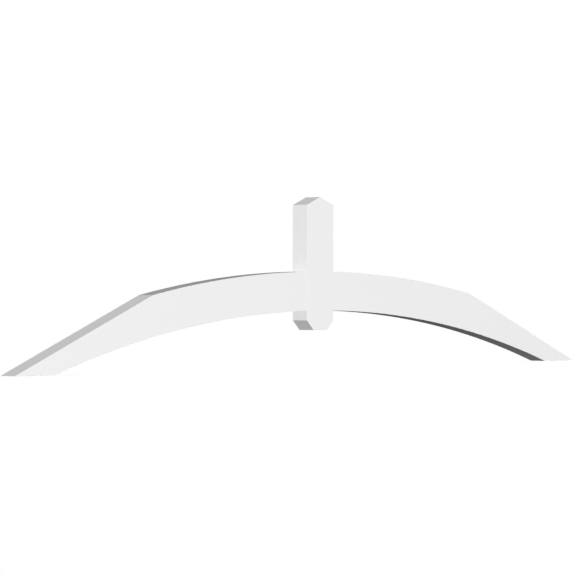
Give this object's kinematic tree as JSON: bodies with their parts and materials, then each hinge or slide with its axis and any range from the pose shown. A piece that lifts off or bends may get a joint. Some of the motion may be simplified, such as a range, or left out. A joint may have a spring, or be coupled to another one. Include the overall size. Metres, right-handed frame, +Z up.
{
  "type": "gable bracket",
  "caption": "Arched gable bracket: a king post with a pointed top between two curved arms sawn to a 5 in 12 roof slope.",
  "frame": {"origin": "midway between the two feet, half way through the depth, on the surface the feet stand on (bottom centre of the bounding box)", "axes": "+X along the span towards the right foot as seen from the front, +Y from the front face to the back face that lies against the wall, +Z up to the peak"},
  "size_m": [2.1326, 0.0508, 0.4444],
  "materials": {
    "white_pvc": "satin white cellular PVC, smooth faces with finely sanded sawn edges"
  },
  "bodies": {
    "root": {"king_post": "white_pvc", "arch_arm_left": "white_pvc", "arch_arm_right": "white_pvc"}
  },
  "joints": []
}
